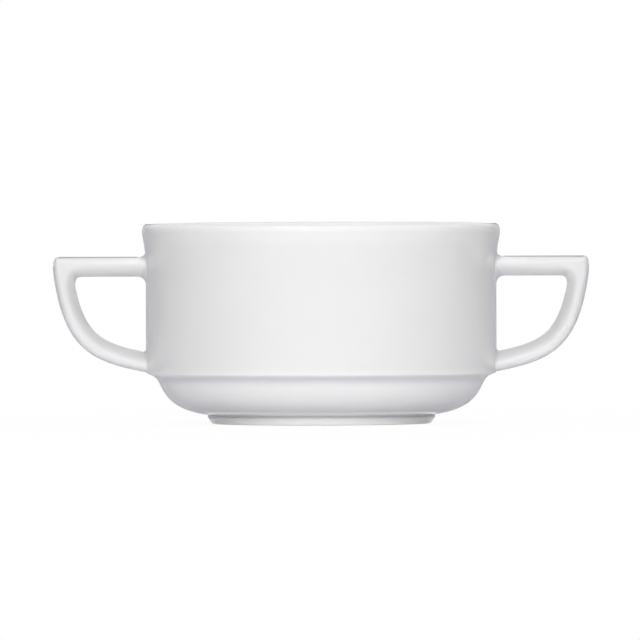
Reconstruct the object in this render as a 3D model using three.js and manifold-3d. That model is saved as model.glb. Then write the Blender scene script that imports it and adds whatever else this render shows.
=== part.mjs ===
// A two-handled stacking soup cup in glazed porcelain, in millimetres, with +Z up.
// The origin is on the table under the middle of the cup, and the handles reach out along X.
import * as THREE from "three";
import { mergeVertices } from "three/addons/utils/BufferGeometryUtils.js";
import Module from "manifold-3d";

// Cup body
const HEIGHT = 58.2; // from the table to the top of the lip
const WALL_DIAMETER = 102; // outside of the straight wall
const WALL_THICKNESS = 3.6;
const FLOOR_THICKNESS = 4.6;
const LIP_FLARE = 1; // how far the lip stands out from the wall
const LIP_THICKNESS = 3.6;
const LIP_ROUND = 2.3; // height of the lip's rounded top
const FLARE_LENGTH = 13; // height over which the wall opens out to the lip
const FLARE_TURN = 0.21; // share of that height from the lip down to the middle of the flare's S-bend
const STEP_HEIGHT = 14.8; // from the table to the lower edge of the wall
const STEP_DEPTH = 2.9; // from the wall in to the corner above the lower bowl
const STEP_DROP = 1.3; // height of the step's sloping underside
const STEP_EDGE = 0.5; // rounding of the wall's lower edge
const STEP_FILLET = 1.2; // rounding of the corner above the lower bowl
const BOWL_LEAN = 29.5; // degrees off upright, at the top of the lower bowl
const BOWL_RISE = 8; // degrees off level, where the lower bowl reaches the foot
const BOWL_PULL_TOP = 0.22; // share of the bowl's span over which its top end runs straight on
const BOWL_PULL_FOOT = 0.66; // the same at its foot
const HEEL_RISE = 11; // from the wall's lower edge up to where the inside starts to curve in
const FLOOR_INSET = 1.6; // from the foot's outside in to the edge of the flat inside floor
const RECESS = 0.8; // how far the underside is hollowed inside the foot

// Foot ring and the layer of slip above it
const FOOT_DIAMETER = 66.4; // outside, at the top of the ring
const FOOT_HEIGHT = 2.2;
const FOOT_WIDTH = 6.8; // of the ring, at its top
const FOOT_TAPER = 1.3; // how far each side of the ring draws in towards the table
const FOOT_EDGE = 0.5; // rounding beside the standing face
const FOOT_SLIP = 0.4; // thickness of the slip between the ring and the bowl
const FOOT_SLIP_INSET = 0.3; // how far the slip stays back from the ring's sides

// Handles
const HANDLE_REACH = 27; // from the wall to the outside of the handle
const HANDLE_DROP = 9.5; // from the top of the lip down to the top of the arm
const HANDLE_THICKNESS = 5.7; // of the bar, seen from the side
const HANDLE_DEPTH = 14; // across the widest line of the bar
const HANDLE_BACK = 12.8; // width of the bar's outer face, before its edges are rounded
const HANDLE_WAIST = 2.2; // from the outer face in to the widest line
const HANDLE_GRIP = 1.6; // width of the flat along the bar's rounded inner side
const HANDLE_FULLNESS = 0.9; // how far the sides run straight on past the widest line
const GRIP_LEAN = 10; // degrees off flat, where the inner side leaves that flat
const GRIP_PULL = 3.4; // how far along the inner side that lean pulls
const HANDLE_EDGE = 1; // rounding of the outer face's edges
const CORNER_OUTSIDE = 2.8; // rounding of the top corner, outside
const CORNER_INSIDE = 2.3; // rounding of the top corner, inside
const FOOT_OF_HANDLE = 0.2; // from the wall's lower edge up to the underside of the handle

// The bow below the corner, as shares of the handle's reach and of its height
const BOW_LEAN = 6.4; // degrees off upright, at the top of the bow
const BOW_SIDE = 0.77; // how far down the upright stretch pulls
const BOW_FOOT = 0.62; // how far out the stretch from the wall pulls
const BOW_LIFT = 0.1; // how far that stretch rises on its way out
const CORNER_SHARE = 0.12; // share of the bow that lies beside the inside corner

// Slip joints between the handles and the wall
const SLIP_THICKNESS = 0.5;
const SLIP_FILLET = 1.6; // radius of the slip smoothed into the corner round a root
const SLIP_LIP = 0.5; // how far the fillet's thin end stands off the bar
const SLIP_TRIM = 0.4; // from the underside of the handle up to the lower end of its slip
const CLEARANCE = 0.2; // between a slip joint and what it joins

// Fineness of the round forms
const AROUND = 64;
const CURVE_STEPS = 6;
const ROUND_STEPS = 2;
const BOW_STEPS = 14;
const GRIP_STEPS = 4;
const WELD = 1e-3; // points closer than this are one point

const GLAZE = { color: 0xf3f2f5, roughness: 0.12, metalness: 0 };

// What follows from the sizes above
const wallRadius = WALL_DIAMETER / 2;
const footRadius = FOOT_DIAMETER / 2;
const seatHeight = FOOT_HEIGHT + FOOT_SLIP;
const lipHeight = HEIGHT - LIP_ROUND;
const flareHeight = lipHeight - FLARE_LENGTH;
const handleTop = HEIGHT - HANDLE_DROP;
const handleFoot = STEP_HEIGHT + FOOT_OF_HANDLE;

const wasm = await Module();
wasm.setup();

const at = (x, y) => new THREE.Vector2(x, y);

// A step of the given length, at an angle in degrees above level.
function step(length, degrees) {
  const angle = THREE.MathUtils.degToRad(degrees);
  return at(length * Math.cos(angle), length * Math.sin(angle));
}

// A corner rounded off between two points on its sides.
function rounded(from, corner, to, steps) {
  return new THREE.QuadraticBezierCurve(from, corner, to).getPoints(steps);
}

// Solid of revolution about Z of a profile of (radius, height) points.
function lathe(profile) {
  const points = profile.filter((point, i) => i === 0 || point.distanceTo(profile[i - 1]) > WELD);
  return new THREE.LatheGeometry(points, AROUND).rotateX(Math.PI / 2);
}

// Closed skin over rings that have equal numbers of points, with a flat cap at each end.
function loft(rings) {
  const size = rings[0].length;
  const last = (rings.length - 1) * size;
  const triangles = [];
  for (let start = 0; start < last; start += size) {
    for (let i = 0; i < size; i++) {
      const a = start + i;
      const b = start + ((i + 1) % size);
      triangles.push(a, b + size, b, a, a + size, b + size);
    }
  }
  for (let i = 1; i + 1 < size; i++) {
    triangles.push(0, i, i + 1, last, last + i + 1, last + i);
  }
  return new THREE.BufferGeometry().setFromPoints(rings.flat()).setIndex(triangles);
}

function solidOf(geometry) {
  const bare = geometry.clone();
  bare.deleteAttribute("normal");
  bare.deleteAttribute("uv");
  const welded = mergeVertices(bare, WELD);
  const vertProperties = welded.getAttribute("position").array;
  const triVerts = new Uint32Array(welded.index.array);
  return new wasm.Manifold(new wasm.Mesh({ numProp: 3, vertProperties, triVerts }));
}

function geometryOf(solid) {
  const { vertProperties, triVerts } = solid.getMesh();
  const geometry = new THREE.BufferGeometry();
  geometry.setAttribute("position", new THREE.BufferAttribute(vertProperties, 3));
  geometry.setIndex(new THREE.BufferAttribute(triVerts, 1));
  geometry.computeVertexNormals();
  return geometry;
}

function named(name, geometry, finish) {
  const mesh = new THREE.Mesh(geometry, new THREE.MeshStandardMaterial(finish));
  mesh.name = name;
  return mesh;
}

// The wall's outside, from the straight wall up to the lip, and its inside, coming down again
const rimRadius = wallRadius + LIP_FLARE;
const innerRadius = wallRadius - WALL_THICKNESS;
const lipInnerRadius = rimRadius - LIP_THICKNESS;

function flare(lowRadius, highRadius) {
  const turnHeight = lipHeight - FLARE_LENGTH * FLARE_TURN;
  return new THREE.CubicBezierCurve(
    at(lowRadius, flareHeight),
    at(lowRadius, turnHeight),
    at(highRadius, turnHeight),
    at(highRadius, lipHeight),
  ).getPoints(CURVE_STEPS);
}

function cupBody() {
  const stepEdge = at(wallRadius, STEP_HEIGHT);
  const stepCorner = at(wallRadius - STEP_DEPTH, STEP_HEIGHT - STEP_DROP);
  const slope = stepEdge.clone().sub(stepCorner).normalize();
  const bowlTop = stepCorner.clone().sub(step(STEP_FILLET, 90 - BOWL_LEAN));
  const bowlFoot = at(footRadius, seatHeight);
  const span = bowlTop.distanceTo(bowlFoot);
  const bowl = new THREE.CubicBezierCurve(
    bowlFoot,
    bowlFoot.clone().add(step(span * BOWL_PULL_FOOT, BOWL_RISE)),
    bowlTop.clone().sub(step(span * BOWL_PULL_TOP, 90 - BOWL_LEAN)),
    bowlTop,
  );
  const underStep = stepCorner.clone().addScaledVector(slope, STEP_FILLET);
  const edgeBelow = stepEdge.clone().addScaledVector(slope, -STEP_EDGE);
  const edgeAbove = at(wallRadius, STEP_HEIGHT + STEP_EDGE);
  const lipTop = new THREE.EllipseCurve(
    rimRadius - LIP_THICKNESS / 2, lipHeight, LIP_THICKNESS / 2, LIP_ROUND, 0, Math.PI,
  );
  const floorRadius = footRadius - FLOOR_INSET;
  const floorHeight = seatHeight + FLOOR_THICKNESS;
  const heelHeight = STEP_HEIGHT + HEEL_RISE;
  const heel = new THREE.EllipseCurve(
    floorRadius, heelHeight, innerRadius - floorRadius, heelHeight - floorHeight, 0, -Math.PI / 2, true,
  );
  const hollowRadius = footRadius - FOOT_WIDTH;
  return lathe([
    ...rounded(at(0, seatHeight + RECESS), at(hollowRadius / 2, seatHeight + RECESS),
      at(hollowRadius, seatHeight), CURVE_STEPS),
    ...bowl.getPoints(CURVE_STEPS),
    ...rounded(bowlTop, stepCorner, underStep, ROUND_STEPS),
    ...rounded(edgeBelow, stepEdge, edgeAbove, ROUND_STEPS),
    ...flare(wallRadius, rimRadius),
    ...lipTop.getPoints(CURVE_STEPS + ROUND_STEPS),
    ...flare(innerRadius, lipInnerRadius).reverse(),
    ...heel.getPoints(CURVE_STEPS + ROUND_STEPS),
    at(0, floorHeight),
  ]);
}

function footRing() {
  const innerTop = at(footRadius - FOOT_WIDTH, FOOT_HEIGHT);
  const outerTop = at(footRadius, FOOT_HEIGHT);
  const innerToe = at(innerTop.x + FOOT_TAPER, 0);
  const outerToe = at(outerTop.x - FOOT_TAPER, 0);
  const towards = (from, to) => to.clone().sub(from).setLength(FOOT_EDGE).add(from);
  return lathe([
    innerTop,
    ...rounded(towards(innerToe, innerTop), innerToe, towards(innerToe, outerToe), ROUND_STEPS),
    ...rounded(towards(outerToe, innerToe), outerToe, towards(outerToe, outerTop), ROUND_STEPS),
    outerTop,
    innerTop,
  ]);
}

function footSlip() {
  const outside = footRadius - FOOT_SLIP_INSET;
  const inside = footRadius - FOOT_WIDTH + FOOT_SLIP_INSET;
  return lathe([
    at(inside, seatHeight),
    at(inside, FOOT_HEIGHT),
    at(outside, FOOT_HEIGHT),
    at(outside, seatHeight),
    at(inside, seatHeight),
  ]);
}

// The cup's wall as a solid plug, grown outwards, which cuts the handles and their slip to the wall.
function wallPlug(growth) {
  const below = handleFoot - HANDLE_THICKNESS;
  const outside = flare(wallRadius, rimRadius).map((point) => at(point.x + growth, point.y));
  return solidOf(lathe([at(0, below), at(wallRadius + growth, below), ...outside, at(0, lipHeight)]));
}

// A station of the handle is a pair of points on the outer and inner edges of its bar,
// in the handle's own plane: distance from the cup's axis, and height.
const bowTop = at(wallRadius + HANDLE_REACH, handleTop - CORNER_OUTSIDE);
const bowFoot = at(wallRadius, handleFoot);
const bowHeight = bowTop.y - bowFoot.y;
const bow = new THREE.CubicBezierCurve(
  bowTop,
  bowTop.clone().sub(step(bowHeight * BOW_SIDE, 90 - BOW_LEAN)),
  bowFoot.clone().add(at(HANDLE_REACH * BOW_FOOT, bowHeight * BOW_LIFT)),
  bowFoot,
);

function bowStation(share) {
  const outer = bow.getPoint(share);
  const along = bow.getTangent(share);
  const inner = outer.clone().addScaledVector(at(along.y, -along.x), HANDLE_THICKNESS);
  return { outer, inner };
}

// Stations near the two roots, at a distance out from the wall
const armRoot = (out) => ({
  outer: at(wallRadius + out, handleTop),
  inner: at(wallRadius + out, handleTop - HANDLE_THICKNESS),
});

function bowRoot(out) {
  const { outer, inner } = bowStation(1);
  const along = bow.getTangent(1);
  const shift = along.multiplyScalar(out / along.x);
  return { outer: outer.add(shift), inner: inner.add(shift) };
}

function cornerStations() {
  const below = bowStation(CORNER_SHARE);
  const rise = handleTop - HANDLE_THICKNESS - below.inner.y;
  const alongBow = bow.getTangent(CORNER_SHARE);
  const insideCorner = below.inner.clone().addScaledVector(alongBow, rise / alongBow.y);
  const armEnd = insideCorner.clone().sub(at(CORNER_INSIDE, 0));
  const lean = Math.tan(THREE.MathUtils.degToRad(BOW_LEAN));
  const outsideCorner = at(bowTop.x + CORNER_OUTSIDE * lean, handleTop);
  const roundStart = outsideCorner.clone().sub(at(CORNER_OUTSIDE, 0));
  const outer = [
    ...new THREE.LineCurve(at(armEnd.x, handleTop), roundStart).getPoints(ROUND_STEPS),
    ...rounded(roundStart, outsideCorner, bowTop, ROUND_STEPS * 2).slice(1),
    ...new THREE.LineCurve(bowTop, below.outer).getPoints(ROUND_STEPS).slice(1),
  ];
  const inner = rounded(armEnd, insideCorner, below.inner, outer.length - 1);
  return outer.map((point, i) => ({ outer: point, inner: inner[i] }));
}

// Half of the bar's section as (depth, offset from the middle plane): the outer face's edge and the
// widest line, with depth counted in from that face, then the curve of the inner side down to its
// flat, with depth counted out from there.
const backEdge = at(0, HANDLE_BACK / 2);
const widest = at(HANDLE_WAIST, HANDLE_DEPTH / 2);
const flank = new THREE.LineCurve(backEdge, widest);
const roundEnd = flank.getPointAt(HANDLE_EDGE / flank.getLength());
const outerSide = [
  ...rounded(at(0, HANDLE_BACK / 2 - HANDLE_EDGE), backEdge, roundEnd, ROUND_STEPS),
  widest,
];
const roundHeight = HANDLE_THICKNESS - HANDLE_WAIST;
const gripEdge = at(0, HANDLE_GRIP / 2);
const innerSide = new THREE.CubicBezierCurve(
  at(roundHeight, HANDLE_DEPTH / 2),
  at(roundHeight - HANDLE_FULLNESS, HANDLE_DEPTH / 2),
  gripEdge.clone().add(step(GRIP_PULL, 90 - GRIP_LEAN)),
  gripEdge,
).getPoints(GRIP_STEPS).slice(1);

// The bar's section at a station, grown all round about its middle.
function sectionAt({ outer, inner }, growth) {
  const across = inner.clone().sub(outer).normalize();
  const middle = outer.clone().lerp(inner, 0.5);
  const thicker = 1 + (2 * growth) / outer.distanceTo(inner);
  const deeper = 1 + (2 * growth) / HANDLE_DEPTH;
  const edge = [
    ...outerSide.map(({ x, y }) => ({ from: outer.clone().addScaledVector(across, x), offset: y })),
    ...innerSide.map(({ x, y }) => ({ from: inner.clone().addScaledVector(across, -x), offset: y })),
  ];
  const side = (sign) =>
    edge.map(({ from, offset }) => {
      const grown = from.clone().sub(middle).multiplyScalar(thicker).add(middle);
      return new THREE.Vector3(grown.x, sign * offset * deeper, grown.y);
    });
  return [...side(1), ...side(-1).reverse()];
}

// The whole bar, with both roots run on into the wall.
function barSolid(growth) {
  const stations = [armRoot(-WALL_THICKNESS), ...cornerStations()];
  for (let i = 1; i <= BOW_STEPS; i++) {
    stations.push(bowStation(CORNER_SHARE + ((1 - CORNER_SHARE) * i) / BOW_STEPS));
  }
  stations.push(bowRoot(-WALL_THICKNESS));
  return solidOf(loft(stations.map((station) => sectionAt(station, growth))));
}

// Sections of the slip round one root, from inside the wall out to where the hollow fillet ends.
function slipSections(root) {
  const sections = [sectionAt(root(-WALL_THICKNESS), SLIP_LIP + SLIP_FILLET)];
  for (let i = 0; i <= CURVE_STEPS; i++) {
    const angle = (Math.PI / 2) * (i / CURVE_STEPS);
    const out = SLIP_FILLET * (1 - Math.cos(angle));
    sections.push(sectionAt(root(out), SLIP_LIP + SLIP_FILLET * (1 - Math.sin(angle))));
  }
  return sections;
}

// Slip round one root: a pad against the wall, with a fillet that ends on the bar.
function slipSolid(sections) {
  const socket = barSolid(CLEARANCE).subtract(wallPlug(CLEARANCE + SLIP_THICKNESS));
  return solidOf(loft(sections)).subtract(wallPlug(CLEARANCE)).subtract(socket);
}

// What lies below the lower slip, where the wall has ended.
function underHandle() {
  const size = HANDLE_REACH + HANDLE_DEPTH;
  const box = new THREE.BoxGeometry(size, size, size);
  return solidOf(box.translate(wallRadius, 0, handleFoot + SLIP_TRIM - size / 2));
}

function handle(side) {
  const group = new THREE.Group();
  const bar = barSolid(0).subtract(wallPlug(SLIP_THICKNESS + 2 * CLEARANCE));
  const upper = slipSolid(slipSections(armRoot));
  const lower = slipSolid(slipSections(bowRoot).reverse()).subtract(underHandle());
  group.add(named(`${side}_handle`, geometryOf(bar), GLAZE));
  group.add(named(`${side}_upper_slip_joint`, geometryOf(upper), GLAZE));
  group.add(named(`${side}_lower_slip_joint`, geometryOf(lower), GLAZE));
  return group;
}

const soupCup = new THREE.Group();
soupCup.add(named("cup_body", cupBody(), GLAZE));
soupCup.add(named("foot_slip_joint", footSlip(), GLAZE));
soupCup.add(named("foot_ring", footRing(), GLAZE));
soupCup.add(handle("right"));
const leftHandle = handle("left");
leftHandle.rotation.z = Math.PI;
soupCup.add(leftHandle);

export default soupCup;
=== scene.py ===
"""The looks of a two-handled stacking soup cup in white glazed porcelain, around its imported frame.

Shapes are worked out in millimetres, in the frame of the part: +Z up, the handles along X, and the
origin on the table under the middle of the cup. Meshes, lamps and the camera are in metres.
"""
import math

import bmesh
import bpy
import numpy as np
from mathutils import Matrix, Vector


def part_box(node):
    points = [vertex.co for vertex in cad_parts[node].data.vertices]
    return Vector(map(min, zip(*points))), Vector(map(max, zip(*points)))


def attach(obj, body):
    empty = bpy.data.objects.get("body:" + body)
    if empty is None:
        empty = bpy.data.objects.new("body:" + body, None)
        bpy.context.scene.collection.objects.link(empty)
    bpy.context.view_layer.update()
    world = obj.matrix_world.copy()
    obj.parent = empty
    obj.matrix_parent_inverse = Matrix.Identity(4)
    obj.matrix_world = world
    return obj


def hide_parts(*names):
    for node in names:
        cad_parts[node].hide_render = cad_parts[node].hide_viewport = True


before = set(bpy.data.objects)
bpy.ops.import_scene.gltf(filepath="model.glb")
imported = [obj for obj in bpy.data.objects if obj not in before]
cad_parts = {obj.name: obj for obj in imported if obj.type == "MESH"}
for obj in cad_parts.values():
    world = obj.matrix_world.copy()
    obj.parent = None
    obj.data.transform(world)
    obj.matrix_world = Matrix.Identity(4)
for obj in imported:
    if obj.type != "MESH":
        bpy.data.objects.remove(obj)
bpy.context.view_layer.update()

MM = 0.001
SAME = 0.001  # points closer than this, in millimetres, are one
AROUND = 192  # points round each turned piece


def box_mm(node):
    low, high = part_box(node)
    return low / MM, high / MM


# Sizes that the frame gives
body_low, body_high = box_mm("cup_body")
_, ring_high = box_mm("foot_ring")
_, bar_high = box_mm("right_handle")
HEIGHT = body_high.z
RIM_RADIUS = body_high.x
SEAT_HEIGHT = body_low.z
FOOT_RADIUS = ring_high.x
FOOT_HEIGHT = ring_high.z
HANDLE_END = bar_high.x
ARM_INSET = 0.1  # how far inside the frame's box the arm's top lies
HANDLE_TOP = bar_high.z - ARM_INSET

# Cup
LIP_FLARE = 1.0  # how far the lip stands out from the wall
WALL_RADIUS = RIM_RADIUS - LIP_FLARE
WALL_THICKNESS = 3.6
FLOOR_THICKNESS = 4.6
LIP_THICKNESS = 3.6
LIP_ROUND = 2.3  # height of the lip's rounded top
LIP_FULLNESS = 2.3  # 2 is an ellipse, and more is squarer
FLARE_LENGTH = 13.0
FLARE_TURN = 0.21  # share of that from the lip down to the middle of the flare's S-bend
STEP_HEIGHT = 14.8  # the wall's lower edge
STEP_DEPTH = 2.9
STEP_DROP = 1.3
STEP_EDGE = 0.5
STEP_FILLET = 1.2
BOWL_LEAN = 29.5  # degrees off upright, at the top of the lower bowl
BOWL_RISE = 8  # degrees off level, at its foot
BOWL_PULL_TOP = 0.22  # how far each of these leads the bowl's curve, as a share of its span
BOWL_PULL_FOOT = 0.66
HEEL_RISE = 11  # from the wall's lower edge up to where the inside starts to curve in
FLOOR_INSET = 1.6  # the flat floor is this much smaller than the foot, all round
RECESS = 0.8  # how far the underside rises inside the foot
POOL_AND_SHADE_RADIUS = 3.0  # a hollow this tight gets the full cooler pooled glaze and the full painted shade
BEND_SPREAD = 0.9  # how far along the surface the pooled glaze with its painted shade, or a thin edge, runs out

# Foot
FOOT_WIDTH = 6.8
FOOT_TAPER = 1.3
FOOT_EDGE = 0.5
FOOT_SHOULDER = 0.15  # rounding of the ring's top edge, beside the seam
BARE_HEIGHT = 0.12  # the glaze is wiped off below this
SEAM_INSET = 0.15  # depth of the crease
SEAM_OVERLAP = 0.3  # how far the slip reaches into the foot and the bowl

# Handles
HANDLE_THICKNESS = 5.78
HANDLE_DEPTH = 14.0  # at the widest line
HANDLE_FACE = 10.8  # width of the outer face
HANDLE_CROWN = 0.55  # how far that face falls back from its middle line to its edges
HANDLE_WAIST = 2.2  # from the outer face in to the widest line
HANDLE_FULLNESS = 0.9  # how far the sides run on past that line before they turn in
HANDLE_GRIP = 1.6  # width of the flat along the inner side
GRIP_LEAN = 15  # degrees off flat, where the inner side leaves that flat
GRIP_PULL = 4.8  # how far along the inner side that lean pulls
CORNER_OUTSIDE = 2.8  # from the top of the arm down to where the bow's curve starts
CORNER_LEG = 2.1  # length of the outer corner's rounding along the arm
CORNER_END = 0.04  # share of the bow at which that rounding ends
CORNER_INSIDE = 2.3  # length of the inner corner's rounding along the arm
FOOT_OF_HANDLE = 0.2  # height of the bow's foot over the wall's lower edge
BOW_REACH = 0.13  # how far the bow's curve starts past the box, which the corner's rounding takes off
BOW_LEAN = 6.4  # degrees off upright, at the top of the bow
BOW_SIDE = 0.77  # how far that lean leads the curve, as a share of the bow's height
BOW_FOOT = 0.62  # how far the curve is led out at its foot, as a share of the handle's reach
BOW_LIFT = 0.1  # and how far up, as a share of the bow's height
CORNER_SHARE = 0.12  # share of the bow at which the inner corner's rounding ends
ROOT_SINK = 2.0  # how far a handle's ends reach into the wall

# Fillets of slip round the handles' roots
FILLET_UNDER = 2.3  # radius under the arm
FILLET_OVER = 1.3  # radius over the arm and over the bow
FILLET_BESIDE = 0.5
FILLET_EDGE = 0.12  # what is left of it under the lower root
FILLET_START = 30  # degrees off the wall at which it starts beside the bar, and 0 over and under it
FILLET_SINK = 0.7  # how far its back lies inside wall and bar

# Steps along each run of the outlines
BOWL_STEPS = 36
WALL_STEPS = 18
FLARE_STEPS = 24
LIP_STEPS = 48
INNER_WALL_STEPS = 12
HEEL_STEPS = 32
FLOOR_STEPS = 16
UNDERSIDE_STEPS = 24
ROUND_STEPS = 8  # small rounded corners
EDGE_STEPS = 6  # edges that are nearly sharp
FLAT_STEPS = 4
FACE_STEPS = 12  # half of the bar's outer face
SIDE_STEPS = 16
FLANK_STEPS = 24
GRIP_STEPS = 2
ARM_STEPS = 15
CORNER_STEPS = 40
BOW_STEPS = 59
OUTER_CORNER_STEPS = (8, 24, 12)  # arm, rounding and bow, before the points are set at even distances
INNER_CORNER_STEPS = 64
FILLET_STEPS = 14


# Curves and meshes

def at(*values):
    return np.array(values, float)


def direction(degrees):
    angle = math.radians(degrees)
    return at(math.cos(angle), math.sin(angle))


def unit(vector):
    return vector / np.linalg.norm(vector)


def line(start, end, steps):
    share = np.linspace(0, 1, steps + 1)[:, None]
    return start + (end - start) * share


def corner(start, tip, end, steps):
    """A corner rounded off between two points on its sides."""
    t = np.linspace(0, 1, steps + 1)[:, None]
    return (1 - t) ** 2 * start + 2 * (1 - t) * t * tip + t ** 2 * end


def bezier(points, share):
    """Points on a cubic curve, and the directions there, at the given shares."""
    p0, p1, p2, p3 = points
    t = np.asarray(share, float)[:, None]
    place = (1 - t) ** 3 * p0 + 3 * (1 - t) ** 2 * t * p1 + 3 * (1 - t) * t ** 2 * p2 + t ** 3 * p3
    slope = (1 - t) ** 2 * (p1 - p0) + 2 * (1 - t) * t * (p2 - p1) + t ** 2 * (p3 - p2)
    return place, slope / np.linalg.norm(slope, axis=1)[:, None]


def curve(points, steps):
    return bezier(points, np.linspace(0, 1, steps + 1))[0]


def angles(start, end, steps):
    """Even steps from one angle to another, given in degrees."""
    return np.radians(np.linspace(start, end, steps + 1))


def circle(radius, height):
    turn = np.linspace(0, 2 * math.pi, AROUND, endpoint=False)
    return [(radius * math.cos(a), radius * math.sin(a), height) for a in turn]


def join(*runs):
    """One polyline out of several, without doubled points."""
    points = np.vstack(runs)
    gaps = np.linalg.norm(np.diff(points, axis=0), axis=1)
    return points[np.concatenate(([True], gaps > SAME))]


def along_even(points, count):
    """The polyline again, with its points at even distances."""
    lengths = np.linalg.norm(np.diff(points, axis=0), axis=1)
    place = np.concatenate(([0], np.cumsum(lengths)))
    wanted = np.linspace(0, place[-1], count)
    return np.column_stack([np.interp(wanted, place, points[:, i]) for i in range(2)])


def piece(name, points, faces, material, nodes, layers=None):
    """A smooth closed mesh that rides on the cup and stands for the given nodes. Its layers are named
    values, one for each point."""
    mesh = bpy.data.meshes.new(name)
    mesh.from_pydata((np.asarray(points) * MM).tolist(), [], faces)
    shape = bmesh.new()
    shape.from_mesh(mesh)
    bmesh.ops.recalc_face_normals(shape, faces=shape.faces)
    shape.to_mesh(mesh)
    shape.free()
    mesh.polygons.foreach_set("use_smooth", [True] * len(mesh.polygons))
    for title, values in (layers or {}).items():
        attribute = mesh.attributes.new(title, "FLOAT", "POINT")
        attribute.data.foreach_set("value", np.asarray(values, np.float32))
    mesh.materials.append(material)
    made = bpy.data.objects.new(name, mesh)
    bpy.context.scene.collection.objects.link(made)
    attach(made, "root")
    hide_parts(*nodes)
    return made


def lathe(profile, closed):
    """Points and faces of a solid of revolution about Z. Its profile of (radius, height) points runs
    from the axis to the axis, or is closed on itself. Also gives each point's place in the profile."""
    points, faces, rows, rings = [], [], [], []
    for row, (radius, height) in enumerate(profile):
        count = AROUND if radius > SAME else 1
        rings.append(range(len(points), len(points) + count))
        points += circle(radius, height)[:count]
        rows += [row] * count
    pairs = list(zip(rings, rings[1:]))
    if closed:
        pairs.append((rings[-1], rings[0]))
    for low, high in pairs:
        for i in range(AROUND):
            j = (i + 1) % AROUND
            loop = (low[i % len(low)], low[j % len(low)], high[j % len(high)], high[i % len(high)])
            faces.append(tuple(dict.fromkeys(loop)))
    return np.array(points), faces, np.array(rows)


def skin(rings, closed):
    """Points and faces of a skin over rings with equal numbers of points. It closes on itself, or
    has a flat cap at each end."""
    size = len(rings[0])
    count = len(rings)
    faces = []
    for row in range(count if closed else count - 1):
        low = row * size
        high = (row + 1) % count * size
        for i in range(size):
            j = (i + 1) % size
            faces.append((low + i, low + j, high + j, high + i))
    if not closed:
        faces.append(tuple(range(size)))
        faces.append(tuple(range((count - 1) * size, count * size)))
    return np.vstack(rings), faces


def hollows_and_edges(profile):
    """How full of pooled glaze and painted shade each point of a profile is, and how thin the glaze is
    over its edges.
    """
    steps = np.diff(profile, axis=0)
    lengths = np.linalg.norm(steps, axis=1)
    heading = np.unwrap(np.arctan2(steps[:, 1], steps[:, 0]))
    bend = np.zeros(len(profile))
    bend[1:-1] = np.diff(heading) / (lengths[1:] + lengths[:-1]) * 2
    place = np.concatenate(([0], np.cumsum(lengths)))
    reach = np.exp(-((place[:, None] - place[None, :]) / BEND_SPREAD) ** 2)
    weight = np.concatenate(([lengths[0]], (lengths[1:] + lengths[:-1]) / 2, [lengths[-1]]))
    near = reach * weight
    bend = near @ bend / near.sum(axis=1)
    return np.clip(-bend * POOL_AND_SHADE_RADIUS, 0, 1), np.clip(bend * POOL_AND_SHADE_RADIUS, 0, 1)


# Materials. A noise is given by its wavelength in millimetres and its detail, and a bump by its
# height in millimetres.
NOISE_RANGE = (0.3, 0.7)  # most of a noise's values lie in this
MIX_INPUTS = (6, 7)  # the colour sockets of a Mix node
MIX_RESULT = 2

GLAZE_IOR = 1.52
TONE_NOISE = (26, 2)
GLOSS_NOISE = (3.2, 3)
GLOSS_ROUGHNESS = (0.03, 0.06)
RIPPLE_NOISE = (7.5, 2)
RIPPLE_HEIGHT = 0.006
# how far the pooled colour, a cooler glaze tint with painted shade, takes over in the deepest hollows
POOL_AND_SHADE_STRENGTH = 0.9
THIN_STRENGTH = 0.8

BARE_IOR = 1.5
BARE_COLOURS = ((0.78, 0.765, 0.735), (0.7, 0.68, 0.64))
BARE_TONE_NOISE = (1.4, 4)
BARE_GLOSS_NOISE = (0.5, 3)
BARE_ROUGHNESS = (0.62, 0.8)
GRAIN_NOISE = (0.22, 3)
GRAIN_HEIGHT = 0.02


def new_material(name):
    material = bpy.data.materials.new(name)
    material.use_nodes = True
    tree = material.node_tree
    return material, tree, tree.nodes["Principled BSDF"]


def add_node(tree, kind, **inputs):
    """A shader node with its sockets set by name, where underscores stand for spaces."""
    made = tree.nodes.new("ShaderNode" + kind)
    for name, value in inputs.items():
        made.inputs[name.replace("_", " ")].default_value = value
    return made


def noise(tree, wavelength, detail):
    """Noise in the object's own space."""
    place = add_node(tree, "TexCoord")
    made = add_node(tree, "TexNoise", Scale=1 / (wavelength * MM), Detail=detail)
    tree.links.new(place.outputs["Object"], made.inputs["Vector"])
    return made.outputs["Fac"]


def spread(tree, value, low, high):
    """Maps a noise's usual range onto low to high."""
    start, end = NOISE_RANGE
    made = add_node(tree, "MapRange", From_Min=start, From_Max=end, To_Min=low, To_Max=high)
    tree.links.new(value, made.inputs["Value"])
    return made.outputs["Result"]


def blend_colours(tree, share, first, second):
    made = tree.nodes.new("ShaderNodeMix")
    made.data_type = "RGBA"
    tree.links.new(share, made.inputs["Factor"])
    for place, colour in zip(MIX_INPUTS, (first, second)):
        socket = made.inputs[place]
        if isinstance(colour, tuple):
            socket.default_value = (*colour, 1)
        else:
            tree.links.new(colour, socket)
    return made.outputs[MIX_RESULT]


def layer(tree, name, strength):
    """A value that the mesh holds at each of its points, scaled to run from 0 up to the strength.
    A mesh without that layer has 0 all over."""
    held = tree.nodes.new("ShaderNodeAttribute")
    held.attribute_name = name
    made = add_node(tree, "MapRange", To_Max=strength)
    tree.links.new(held.outputs["Fac"], made.inputs["Value"])
    return made.outputs["Result"]


def bump(tree, shader, height, distance):
    made = add_node(tree, "Bump", Distance=distance * MM)
    tree.links.new(height, made.inputs["Height"])
    tree.links.new(made.outputs["Normal"], shader.inputs["Normal"])


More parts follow.
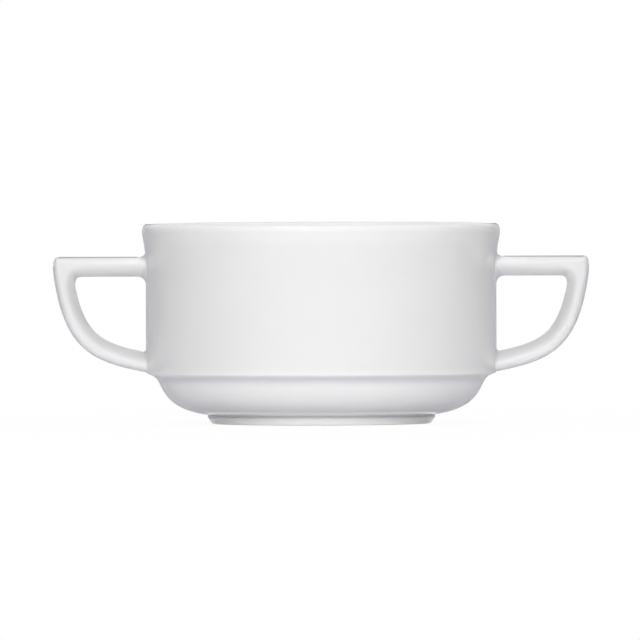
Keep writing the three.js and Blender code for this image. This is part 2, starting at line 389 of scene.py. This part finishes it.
def glaze(name, body, drift, pooled_and_shaded, thin):
    """Clear gloss over white porcelain: the tone drifts a little, the glaze is cooler where it pools in
    hollows, with painted shade there, and thinner over edges, and its surface is slightly wavy and not
    evenly smooth."""
    material, tree, shader = new_material(name)
    shader.inputs["IOR"].default_value = GLAZE_IOR
    tone = blend_colours(tree, spread(tree, noise(tree, *TONE_NOISE), 0, 1), body, drift)
    # the pooled colour is painted shade in hollows as well as a cooler glaze tint
    tone = blend_colours(tree, layer(tree, "pool_and_shade", POOL_AND_SHADE_STRENGTH), tone, pooled_and_shaded)
    tone = blend_colours(tree, layer(tree, "edge", THIN_STRENGTH), tone, thin)
    tree.links.new(tone, shader.inputs["Base Color"])
    roughness = spread(tree, noise(tree, *GLOSS_NOISE), *GLOSS_ROUGHNESS)
    tree.links.new(roughness, shader.inputs["Roughness"])
    bump(tree, shader, noise(tree, *RIPPLE_NOISE), RIPPLE_HEIGHT)
    return material


def bare_porcelain():
    """The ground standing face, where there is no glaze: matt, a little warm, with a fine grain."""
    material, tree, shader = new_material("bare_porcelain")
    shader.inputs["IOR"].default_value = BARE_IOR
    tone = blend_colours(tree, spread(tree, noise(tree, *BARE_TONE_NOISE), 0, 1), *BARE_COLOURS)
    tree.links.new(tone, shader.inputs["Base Color"])
    roughness = spread(tree, noise(tree, *BARE_GLOSS_NOISE), *BARE_ROUGHNESS)
    tree.links.new(roughness, shader.inputs["Roughness"])
    bump(tree, shader, noise(tree, *GRAIN_NOISE), GRAIN_HEIGHT)
    return material


WHITE_GLAZE = glaze(
    "white_glaze",
    body=(0.862, 0.86, 0.863),
    drift=(0.848, 0.847, 0.852),
    # far darker than the body: painted shade in the hollows, over a cooler pooled glaze
    pooled_and_shaded=(0.66, 0.668, 0.695),
    thin=(0.895, 0.892, 0.888),
)
# A darker copy of the white glaze: painted shade that keeps the handles dimmer than the wall.
SHADED_HANDLE_GLAZE = glaze(
    "handle_glaze_painted_shade",
    body=(0.838, 0.836, 0.838),
    drift=(0.825, 0.824, 0.828),
    pooled_and_shaded=(0.73, 0.737, 0.762),
    thin=(0.87, 0.867, 0.863),
)
SLIP_GLAZE = glaze(
    "slip_glaze",
    body=(0.857, 0.855, 0.859),
    drift=(0.845, 0.844, 0.85),
    # darker than the body: painted shade in the crease and the roots' corners, over a cooler pooled
    # glaze
    pooled_and_shaded=(0.75, 0.757, 0.783),
    thin=(0.895, 0.892, 0.888),
)
BARE_PORCELAIN = bare_porcelain()


# The cup's body

inner_radius = WALL_RADIUS - WALL_THICKNESS
lip_middle = RIM_RADIUS - LIP_THICKNESS / 2
lip_height = HEIGHT - LIP_ROUND
flare_height = lip_height - FLARE_LENGTH


def flare(low_radius, high_radius):
    turn_height = lip_height - FLARE_LENGTH * FLARE_TURN
    return curve((
        at(low_radius, flare_height),
        at(low_radius, turn_height),
        at(high_radius, turn_height),
        at(high_radius, lip_height),
    ), FLARE_STEPS)


def lip():
    """The full, slightly square round of the lip, from its outside over the top to its inside."""
    turn = angles(0, 180, LIP_STEPS)
    power = 2 / LIP_FULLNESS
    across = np.sign(np.cos(turn)) * np.abs(np.cos(turn)) ** power
    up = np.abs(np.sin(turn)) ** power
    return np.column_stack((lip_middle + across * LIP_THICKNESS / 2, lip_height + up * LIP_ROUND))


def outside():
    """The body's outside, from the foot up to the lip."""
    step_edge = at(WALL_RADIUS, STEP_HEIGHT)
    step_corner = step_edge - at(STEP_DEPTH, STEP_DROP)
    slope = unit(step_edge - step_corner)
    upright = direction(90 - BOWL_LEAN)
    bowl_top = step_corner - STEP_FILLET * upright
    bowl_foot = at(FOOT_RADIUS, SEAT_HEIGHT)
    span = np.linalg.norm(bowl_top - bowl_foot)
    bowl = (
        bowl_foot,
        bowl_foot + span * BOWL_PULL_FOOT * direction(BOWL_RISE),
        bowl_top - span * BOWL_PULL_TOP * upright,
        bowl_top,
    )
    edge_above = step_edge + at(0, STEP_EDGE)
    return join(
        curve(bowl, BOWL_STEPS),
        corner(bowl_top, step_corner, step_corner + slope * STEP_FILLET, ROUND_STEPS),
        corner(step_edge - slope * STEP_EDGE, step_edge, edge_above, EDGE_STEPS),
        line(edge_above, at(WALL_RADIUS, flare_height), WALL_STEPS),
        flare(WALL_RADIUS, RIM_RADIUS),
    )


def make_body():
    hollow_edge = at(FOOT_RADIUS - FOOT_WIDTH, SEAT_HEIGHT)
    hollow_top = at(0, SEAT_HEIGHT + RECESS)
    hollow_turn = hollow_top + at(hollow_edge[0] / 2, 0)
    floor_radius = FOOT_RADIUS - FLOOR_INSET
    floor_height = SEAT_HEIGHT + FLOOR_THICKNESS
    heel_height = STEP_HEIGHT + HEEL_RISE
    turn = angles(0, -90, HEEL_STEPS)
    heel = np.column_stack((
        floor_radius + (inner_radius - floor_radius) * np.cos(turn),
        heel_height + (heel_height - floor_height) * np.sin(turn),
    ))
    profile = join(
        corner(hollow_top, hollow_turn, hollow_edge, UNDERSIDE_STEPS),
        outside(),
        lip(),
        flare(inner_radius, RIM_RADIUS - LIP_THICKNESS)[::-1],
        line(at(inner_radius, flare_height), at(inner_radius, heel_height), INNER_WALL_STEPS),
        heel,
        line(at(floor_radius, floor_height), at(0, floor_height), FLOOR_STEPS),
    )
    points, faces, rows = lathe(profile, closed=False)
    # the pooled colour paints shade into the hollows, and the edges take the thin glaze
    pool_and_shade, edge = hollows_and_edges(profile)
    layers = {"pool_and_shade": pool_and_shade[rows], "edge": edge[rows]}
    piece("porcelain_body", points, faces, WHITE_GLAZE, ["cup_body"], layers)


# The foot ring and the seam above it

def make_foot():
    inner_top = at(FOOT_RADIUS - FOOT_WIDTH, FOOT_HEIGHT)
    outer_top = at(FOOT_RADIUS, FOOT_HEIGHT)
    inner_toe = at(inner_top[0] + FOOT_TAPER, 0)
    outer_toe = at(FOOT_RADIUS - FOOT_TAPER, 0)
    inner_side = unit(inner_top - inner_toe)
    outer_side = unit(outer_top - outer_toe)
    flat = at(FOOT_EDGE, 0)
    shoulder = outer_top - at(FOOT_SHOULDER, 0)
    profile = join(
        corner(inner_toe + FOOT_EDGE * inner_side, inner_toe, inner_toe + flat, ROUND_STEPS),
        corner(outer_toe - flat, outer_toe, outer_toe + FOOT_EDGE * outer_side, ROUND_STEPS),
        corner(outer_top - FOOT_SHOULDER * outer_side, outer_top, shoulder, EDGE_STEPS),
        line(shoulder, inner_top, FLAT_STEPS),
        line(inner_top, inner_toe + FOOT_EDGE * inner_side, EDGE_STEPS)[:-1],
    )
    points, faces, _ = lathe(profile, closed=True)
    made = piece("porcelain_foot", points, faces, WHITE_GLAZE, ["foot_ring"])
    made.data.materials.append(BARE_PORCELAIN)
    bare_index = made.data.materials.find(BARE_PORCELAIN.name)
    for face in made.data.polygons:
        if face.center.z < BARE_HEIGHT * MM:
            face.material_index = bare_index


def make_seam():
    """The slip that shows as a fine crease between the foot and the bowl, all of it in the darker
    pooled colour as painted shade in the crease.
    """
    outside_radius = FOOT_RADIUS - SEAM_INSET
    inside_radius = FOOT_RADIUS - FOOT_WIDTH + SEAM_INSET
    low = FOOT_HEIGHT - SEAM_OVERLAP
    high = SEAT_HEIGHT + SEAM_OVERLAP
    crease_foot = at(outside_radius, FOOT_HEIGHT)
    crease_turn = at(outside_radius, SEAT_HEIGHT)
    crease_top = at(FOOT_RADIUS, SEAT_HEIGHT)
    profile = join(
        line(at(inside_radius, low), at(outside_radius, low), FLAT_STEPS),
        corner(crease_foot, crease_turn, crease_top, EDGE_STEPS),
        line(at(FOOT_RADIUS, high), at(inside_radius, high), FLAT_STEPS),
        line(at(inside_radius, high), at(inside_radius, low), FLAT_STEPS)[:-1],
    )
    points, faces, _ = lathe(profile, closed=True)
    # the whole seam takes the pooled colour: painted shade that darkens the crease
    layers = {"pool_and_shade": np.ones(len(points))}
    piece("foot_seam", points, faces, SLIP_GLAZE, ["foot_slip_joint"], layers)


# The handles

wall_outline = outside()
handle_foot = STEP_HEIGHT + FOOT_OF_HANDLE
handle_reach = HANDLE_END - WALL_RADIUS
bow_top = at(HANDLE_END + BOW_REACH, HANDLE_TOP - CORNER_OUTSIDE)
bow_foot = at(WALL_RADIUS, handle_foot)
bow_height = bow_top[1] - bow_foot[1]
BOW = (
    bow_top,
    bow_top - bow_height * BOW_SIDE * direction(90 - BOW_LEAN),
    bow_foot + at(handle_reach * BOW_FOOT, bow_height * BOW_LIFT),
    bow_foot,
)


def bow_stations(shares):
    """Points on the bar's outer and inner edges along the bow."""
    outer, along = bezier(BOW, shares)
    inner = outer + np.column_stack((along[:, 1], -along[:, 0])) * HANDLE_THICKNESS
    return outer, inner


def arm_stations(distances):
    """The same along the straight arm, at distances out from the wall."""
    outer = np.array([(WALL_RADIUS + distance, HANDLE_TOP) for distance in distances])
    return outer, outer - at(0, HANDLE_THICKNESS)


def root_stations(distances):
    """The same where the bow runs straight on into the wall."""
    along = bezier(BOW, [1])[1][0]
    outer, inner = bow_stations([1])
    shift = np.asarray(distances)[:, None] * along / along[0]
    return outer + shift, inner + shift


def corner_stations():
    """The same round the top corner, where the two edges turn at their own radii."""
    arm_steps, round_steps, bow_steps = OUTER_CORNER_STEPS
    _, (below_inner,) = bow_stations([CORNER_SHARE])
    along = bezier(BOW, [CORNER_SHARE])[1][0]
    rise = HANDLE_TOP - HANDLE_THICKNESS - below_inner[1]
    inside_corner = below_inner + along * rise / along[1]
    arm_end = inside_corner - at(CORNER_INSIDE, 0)
    (round_end,), (round_along,) = bezier(BOW, [CORNER_END])
    outside_corner = round_end + round_along * (HANDLE_TOP - round_end[1]) / round_along[1]
    round_start = outside_corner - at(CORNER_LEG, 0)
    outer = join(
        line(at(arm_end[0], HANDLE_TOP), round_start, arm_steps),
        corner(round_start, outside_corner, round_end, round_steps),
        bow_stations(np.linspace(CORNER_END, CORNER_SHARE, bow_steps + 1))[0],
    )
    inner = corner(arm_end, inside_corner, below_inner, INNER_CORNER_STEPS)
    return along_even(outer, CORNER_STEPS + 1), along_even(inner, CORNER_STEPS + 1)


def half_section():
    """Half of the bar's section, as (depth, width) points in two runs: from the middle of its outer
    face to the widest line, with depths in from that face, and on to the middle of its inner side,
    with depths from that side."""
    face = HANDLE_FACE / 2
    side = HANDLE_DEPTH / 2
    grip = HANDLE_GRIP / 2
    round_depth = HANDLE_THICKNESS - HANDLE_WAIST
    width = np.linspace(0, face, FACE_STEPS + 1)
    crown = np.column_stack((HANDLE_CROWN * (width / face) ** 2, width))
    face_edge = at(HANDLE_CROWN, face)
    crown_slope = 2 * HANDLE_CROWN / face  # at that edge
    edge = (
        face_edge,
        face_edge + at(crown_slope, 1) * (side - face) / 2,
        at((HANDLE_CROWN + HANDLE_WAIST) / 2, side),
        at(HANDLE_WAIST, side),
    )
    outer = join(crown, curve(edge, SIDE_STEPS))
    flank = (
        at(-round_depth, side),
        at(HANDLE_FULLNESS - round_depth, side),
        at(0, grip) + GRIP_PULL * direction(90 + GRIP_LEAN),
        at(0, grip),
    )
    inner = join(curve(flank, FLANK_STEPS)[1:], line(at(0, grip), at(0, 0), GRIP_STEPS))
    return outer, inner


SECTION_OUTER, SECTION_INNER = half_section()


def whole_section():
    """The section all round: depth from the outer edge, which holds up to the widest line, depth from
    the inner edge, which holds from there on, 1 where the second holds, and width."""
    from_outer = np.concatenate((SECTION_OUTER[:, 0], np.zeros(len(SECTION_INNER))))
    from_inner = np.concatenate((np.zeros(len(SECTION_OUTER)), SECTION_INNER[:, 0]))
    is_inner = np.concatenate((np.zeros(len(SECTION_OUTER)), np.ones(len(SECTION_INNER))))
    width = np.concatenate((SECTION_OUTER[:, 1], SECTION_INNER[:, 1]))
    back = slice(-2, 0, -1)
    return (
        np.concatenate((from_outer, from_outer[back])),
        np.concatenate((from_inner, from_inner[back])),
        np.concatenate((is_inner, is_inner[back])),
        np.concatenate((width, -width[back])),
    )


FROM_OUTER, FROM_INNER, IS_INNER, WIDTH = whole_section()


def section_normals():
    """Directions out of the section at its points, as (towards the inner side, sideways)."""
    depth = FROM_OUTER + IS_INNER * (HANDLE_THICKNESS + FROM_INNER)
    loop = np.column_stack((depth, WIDTH))
    ahead = np.roll(loop, -1, axis=0) - np.roll(loop, 1, axis=0)
    out = np.column_stack((-ahead[:, 1], ahead[:, 0]))
    return out / np.linalg.norm(out, axis=1)[:, None]


NORMALS = section_normals()


def ring(outer, inner, growth=0.0):
    """The bar's section at one station, grown outwards by a length, or by one for each point."""
    across = unit(inner - outer)
    base = np.where(IS_INNER[:, None] > 0, inner, outer)
    depth = FROM_OUTER + FROM_INNER + NORMALS[:, 0] * growth
    plane = base + depth[:, None] * across
    return np.column_stack((plane[:, 0], WIDTH + NORMALS[:, 1] * growth, plane[:, 1]))


def turned(points, side):
    """The left handle is the right one turned half round."""
    return points if side == "right" else points * at(-1, -1, 1)


def make_handle(side):
    corner_run = corner_stations()
    arm_length = corner_run[0][0][0] - WALL_RADIUS
    runs = (
        arm_stations(np.linspace(-ROOT_SINK, arm_length, ARM_STEPS + 1)),
        corner_run,
        bow_stations(np.linspace(CORNER_SHARE, 1, BOW_STEPS + 1)),
        root_stations([-ROOT_SINK / 2, -ROOT_SINK]),
    )
    outer = np.vstack([run[0] for run in runs])
    inner = np.vstack([run[1] for run in runs])
    keep = np.concatenate(([True], np.linalg.norm(np.diff(outer, axis=0), axis=1) > SAME))
    rings = [ring(a, b) for a, b in zip(outer[keep], inner[keep])]
    points, faces = skin(rings, closed=False)
    name = side + "_handle_bar"
    # the handles take the glaze with painted shade
    piece(name, turned(points, side), faces, SHADED_HANDLE_GLAZE, [side + "_handle"])


def wall_reach(ring_points):
    """Where the wall's outside lies along X, beside each point of a ring."""
    radius = np.interp(ring_points[:, 2], wall_outline[:, 1], wall_outline[:, 0])
    return np.sqrt(radius ** 2 - ring_points[:, 1] ** 2)


def make_fillet(side, level, stations, radii):
    """Slip smoothed into the corner round one root. It starts on the wall, ends on the bar, and its
    back lies inside both."""

    def round_ring(growth, out):
        (outer,), (inner,) = stations([0.0])
        (ahead,), _ = stations([1.0])
        slope = (ahead - outer)[1]  # of the bar, for each millimetre out from the wall
        points = ring(outer, inner, growth)
        points[:, 2] += out * slope
        points[:, 0] = wall_reach(points) + out
        return points

    start = np.radians(FILLET_START) * (1 - NORMALS[:, 0] ** 2)
    sunk = np.full(len(radii), -FILLET_SINK)
    rings = []
    full = []
    for share in np.linspace(0, 1, FILLET_STEPS + 1):
        angle = start + (math.pi / 2 - start) * share
        rings.append(round_ring(radii * (1 - np.sin(angle)), radii * (1 - np.cos(angle))))
        # most pooled colour in the middle of the fillet: painted shade in the root's corner, with the
        # cooler pooled glaze
        full.append(np.sin(2 * angle))
    back = [
        round_ring(sunk, radii),
        round_ring(sunk, sunk),
        round_ring(radii * (1 - np.sin(start)), sunk),
    ]
    points, faces = skin(rings + back, closed=True)
    layers = {"pool_and_shade": np.concatenate(full + [0 * radii] * len(back))}
    name = f"{side}_{level}_fillet"
    nodes = [f"{side}_{level}_slip_joint"]
    piece(name, turned(points, side), faces, SLIP_GLAZE, nodes, layers)


def fillet_radii(inner, outer):
    """The fillet's radius at each point of the section, out of those on its inner and outer sides."""
    towards = NORMALS[:, 0]
    face = np.where(towards > 0, inner, outer)
    return FILLET_BESIDE + (face - FILLET_BESIDE) * towards ** 2


# Stage, light and camera, in metres and watts, and in degrees

FRONT_POWER = 7.75
BACK_POWER = 6.2
KEY_PLACE = (1.1, 0.32)  # distance from the cup, and height
KEY_SIZE = (0.5, 0.24)
SIDE_POWER = 0.14
SIDE_PLACE = (0.6, 0.35, 0.175)
SIDE_SIZE = (0.3, 0.3)
TOP_POWER = 9.3
TOP_HEIGHT = 1.35
TOP_SIZE = (0.45, 0.45)
MOUTH_POWER = 8.0  # a spot light straight down into the cup
MOUTH_HEIGHT = 1.2
MOUTH_ANGLE = 4.2
MOUTH_BLEND = 0.6
MOUTH_RADIUS = 0.012
AMBIENT = (0.97, 0.96, 1.0)
AMBIENT_STRENGTH = 0.01

FLOOR_RADIUS = 6.0
FLOOR_FADE = 0.3  # distance from the cup at which the floor has become plain white
FLOOR_SHADE = 0.05  # how much of its own light and shadow the floor shows beside the cup
FLOOR_COLOUR = (0.95, 0.95, 0.955)
FLOOR_ROUGHNESS = 0.9
GLOW_STRENGTH = 0.06  # painted light: a glow that the floor gives off under the bowl, before and behind it, lighting the cup from below
GLOW_REACH = (0.042, 0.065)  # from the middle, where it starts to fade and where it has ended

# Cards that only show in reflections: a grey table round the cup, flags beyond the handles, and
# a softbox high up in front
FOUR_CORNERS = [(0, 1, 2, 3)]  # the one face of a flag or a softbox
TABLE_INSIDE = 0.034
TABLE_OUTSIDE = 5.5
TABLE_LIFT = 0.0003
TABLE_COLOUR = (0.54, 0.525, 0.6)
FLAG_COLOUR = (0.2, 0.2, 0.22)  # close beside the handles
SCREEN_COLOUR = (0.7, 0.69, 0.72)  # farther out
FLAG_EDGES = (0.056, 0.085, 0.3)  # from the middle out to where each begins, and to the end
FLAG_BEHIND = 0.25
FLAG_HEIGHT = (0.05, 0.13)
SOFTBOX_PLACE = (-0.3, -0.7, 1.0)
SOFTBOX_SIZE = (0.6, 0.4)
SOFTBOX_STRENGTH = 2.4

CAMERA_DISTANCE = 5.0
CAMERA_ELEVATION = 0.87
CAMERA_ROLL = -0.17
CAMERA_LENS = 967.0
CAMERA_CLIP = 24.0
AIM = (-0.35, 0.0, 30.05)  # millimetres


def combine(tree, operation, first, second):
    made = tree.nodes.new("ShaderNodeMath")
    made.operation = operation
    tree.links.new(first, made.inputs[0])
    tree.links.new(second, made.inputs[1])
    return made.outputs[0]


def seen_directly(tree):
    """1 for what the camera sees, also in reflections and through glass, and 0 for light."""
    path = tree.nodes.new("ShaderNodeLightPath")
    seen = combine(tree, "MAXIMUM", path.outputs["Is Camera Ray"], path.outputs["Is Glossy Ray"])
    return combine(tree, "MAXIMUM", seen, path.outputs["Is Transmission Ray"])


def mix_shaders(tree, share, first, second):
    made = tree.nodes.new("ShaderNodeMixShader")
    tree.links.new(share, made.inputs[0])
    tree.links.new(first, made.inputs[1])
    tree.links.new(second, made.inputs[2])
    return made.outputs[0]


def make_world():
    world = bpy.data.worlds.new("studio")
    world.use_nodes = True
    tree = world.node_tree
    tree.nodes.clear()
    light = add_node(tree, "Background", Color=(*AMBIENT, 1), Strength=AMBIENT_STRENGTH)
    white = add_node(tree, "Background", Color=(1, 1, 1, 1), Strength=1.0)
    both = mix_shaders(tree, seen_directly(tree), light.outputs[0], white.outputs[0])
    output = tree.nodes.new("ShaderNodeOutputWorld")
    tree.links.new(both, output.inputs["Surface"])
    bpy.context.scene.world = world


def stage_piece(name, points, faces):
    mesh = bpy.data.meshes.new(name)
    mesh.from_pydata(points, [], faces)
    made = bpy.data.objects.new(name, mesh)
    bpy.context.scene.collection.objects.link(made)
    return made


def floor_glow(tree, place, distance):
    """How much light the floor gives off as a painted glow: most before and behind the cup, and none
    beside it.
    """
    start, end = GLOW_REACH
    near = add_node(tree, "MapRange", From_Min=start, From_Max=end, To_Min=GLOW_STRENGTH, To_Max=0.0)
    tree.links.new(distance, near.inputs["Value"])
    heading = tree.nodes.new("ShaderNodeVectorMath")
    heading.operation = "NORMALIZE"
    tree.links.new(place, heading.inputs[0])
    parts = tree.nodes.new("ShaderNodeSeparateXYZ")
    tree.links.new(heading.outputs["Vector"], parts.inputs["Vector"])
    ahead = combine(tree, "MULTIPLY", parts.outputs["Y"], parts.outputs["Y"])
    return combine(tree, "MULTIPLY", near.outputs["Result"], ahead)


def floor_material():
    """Pale floor that turns plain white away from the cup, and lets the cup be seen from below."""
    material, tree, shader = new_material("floor")
    shader.inputs["Base Color"].default_value = (*FLOOR_COLOUR, 1)
    shader.inputs["Roughness"].default_value = FLOOR_ROUGHNESS
    shader.inputs["Specular IOR Level"].default_value = 0.0
    white = add_node(tree, "Emission", Color=(1, 1, 1, 1), Strength=1.0)
    place = add_node(tree, "TexCoord").outputs["Object"]
    length = tree.nodes.new("ShaderNodeVectorMath")
    length.operation = "LENGTH"
    tree.links.new(place, length.inputs[0])
    distance = length.outputs["Value"]
    shader.inputs["Emission Color"].default_value = (1, 1, 1, 1)
    # the floor glows here, painted light on the cup's lower parts
    tree.links.new(floor_glow(tree, place, distance), shader.inputs["Emission Strength"])
    fade = add_node(tree, "MapRange", From_Max=FLOOR_FADE, To_Min=1 - FLOOR_SHADE, To_Max=1.0)
    tree.links.new(distance, fade.inputs["Value"])
    share = combine(tree, "MULTIPLY", fade.outputs["Result"], seen_directly(tree))
    top = mix_shaders(tree, share, shader.outputs[0], white.outputs[0])
    side = tree.nodes.new("ShaderNodeNewGeometry")
    clear = tree.nodes.new("ShaderNodeBsdfTransparent")
    whole = mix_shaders(tree, side.outputs["Backfacing"], top, clear.outputs[0])
    tree.links.new(whole, tree.nodes["Material Output"].inputs["Surface"])
    return material


def make_floor():
    floor = stage_piece("floor", circle(FLOOR_RADIUS, 0), [tuple(range(AROUND))])
    floor.data.materials.append(floor_material())


def make_card(name, points, faces, colour, strength=1.0):
    """A card that the camera and the light pass by, and only reflections show."""
    card = stage_piece(name, points, faces)
    material, tree, _ = new_material(name)
    glow = add_node(tree, "Emission", Color=(*colour, 1), Strength=strength)
    tree.links.new(glow.outputs[0], tree.nodes["Material Output"].inputs["Surface"])
    card.data.materials.append(material)
    card.visible_camera = False
    card.visible_diffuse = False
    card.visible_transmission = False
    card.visible_shadow = False
    return card


def make_table_card():
    points = circle(TABLE_INSIDE, TABLE_LIFT) + circle(TABLE_OUTSIDE, TABLE_LIFT)
    faces = []
    for i in range(AROUND):
        j = (i + 1) % AROUND
        faces.append((i, j, AROUND + j, AROUND + i))
    make_card("table_card", points, faces, TABLE_COLOUR)


def make_flags():
    """Dark flags that draw the upper edges of the handles, with paler screens beside them."""
    start, middle, end = FLAG_EDGES
    low, high = FLAG_HEIGHT
    cards = (("flag", start, middle, FLAG_COLOUR), ("screen", middle, end, SCREEN_COLOUR))
    for name, near, far, colour in cards:
        corners = ((near, low), (far, low), (far, high), (near, high))
        for across in (-1, 1):
            for along in (-1, 1):
                points = [(across * x, along * FLAG_BEHIND, z) for x, z in corners]
                make_card(name, points, FOUR_CORNERS, colour)


def face_cup(made, place):
    """Sets a lamp or a card at a place, turned to the middle of the cup."""
    made.location = place
    target = Vector((0, 0, HEIGHT / 2 * MM))
    made.rotation_euler = (target - made.location).to_track_quat("-Z", "Y").to_euler()


def make_softbox():
    half_width, half_height = np.array(SOFTBOX_SIZE) / 2
    points = [
        (-half_width, -half_height, 0), (half_width, -half_height, 0),
        (half_width, half_height, 0), (-half_width, half_height, 0),
    ]
    softbox = make_card("softbox", points, FOUR_CORNERS, (1, 1, 1), SOFTBOX_STRENGTH)
    face_cup(softbox, SOFTBOX_PLACE)


def hang(lamp):
    """A lamp that neither the camera nor a reflection shows."""
    made = bpy.data.objects.new(lamp.name, lamp)
    made.visible_camera = False
    made.visible_glossy = False
    bpy.context.scene.collection.objects.link(made)
    return made


def make_lamp(name, place, size, power):
    lamp = bpy.data.lights.new(name, "AREA")
    lamp.shape = "RECTANGLE"
    lamp.size, lamp.size_y = size
    lamp.energy = power
    face_cup(hang(lamp), place)


def make_lamps():
    """Soft light in front of the cup and behind it, weaker light beside those, and light from above."""
    distance, height = KEY_PLACE
    for end, along, power in (("front", -1, FRONT_POWER), ("back", 1, BACK_POWER)):
        make_lamp(end + "_key_light", (0, along * distance, height), KEY_SIZE, power)
        for side, across in (("left", -1), ("right", 1)):
            place = np.array(SIDE_PLACE) * (across, along, 1)
            make_lamp(f"{end}_{side}_light", place, SIDE_SIZE, SIDE_POWER)
    make_lamp("top_light", (0, 0, TOP_HEIGHT), TOP_SIZE, TOP_POWER)


def make_mouth_light():
    lamp = bpy.data.lights.new("mouth_light", "SPOT")
    lamp.energy = MOUTH_POWER
    lamp.spot_size = math.radians(MOUTH_ANGLE)
    lamp.spot_blend = MOUTH_BLEND
    lamp.shadow_soft_size = MOUTH_RADIUS
    hang(lamp).location = (0, 0, MOUTH_HEIGHT)


def make_camera():
    camera = bpy.data.objects.new("camera", bpy.data.cameras.new("camera"))
    camera.data.lens = CAMERA_LENS
    camera.data.clip_end = CAMERA_CLIP
    tilt = Matrix.Rotation(math.radians(90 - CAMERA_ELEVATION), 4, "X")
    roll = Matrix.Rotation(math.radians(CAMERA_ROLL), 4, "Z")
    turn = tilt @ roll
    place = Vector(AIM) * MM + tilt @ Vector((0, 0, CAMERA_DISTANCE))
    camera.matrix_world = Matrix.Translation(place) @ turn
    bpy.context.scene.collection.objects.link(camera)
    bpy.context.scene.camera = camera


make_camera()
make_world()
make_floor()
make_table_card()
make_flags()
make_softbox()
make_lamps()
make_mouth_light()

make_body()
make_foot()
make_seam()
upper_radii = fillet_radii(FILLET_UNDER, FILLET_OVER)
lower_radii = fillet_radii(FILLET_OVER, FILLET_EDGE)
for side in ("left", "right"):
    make_handle(side)
    make_fillet(side, "upper", arm_stations, upper_radii)
    make_fillet(side, "lower", root_stations, lower_radii)

bpy.context.scene.view_settings.view_transform = "Standard"
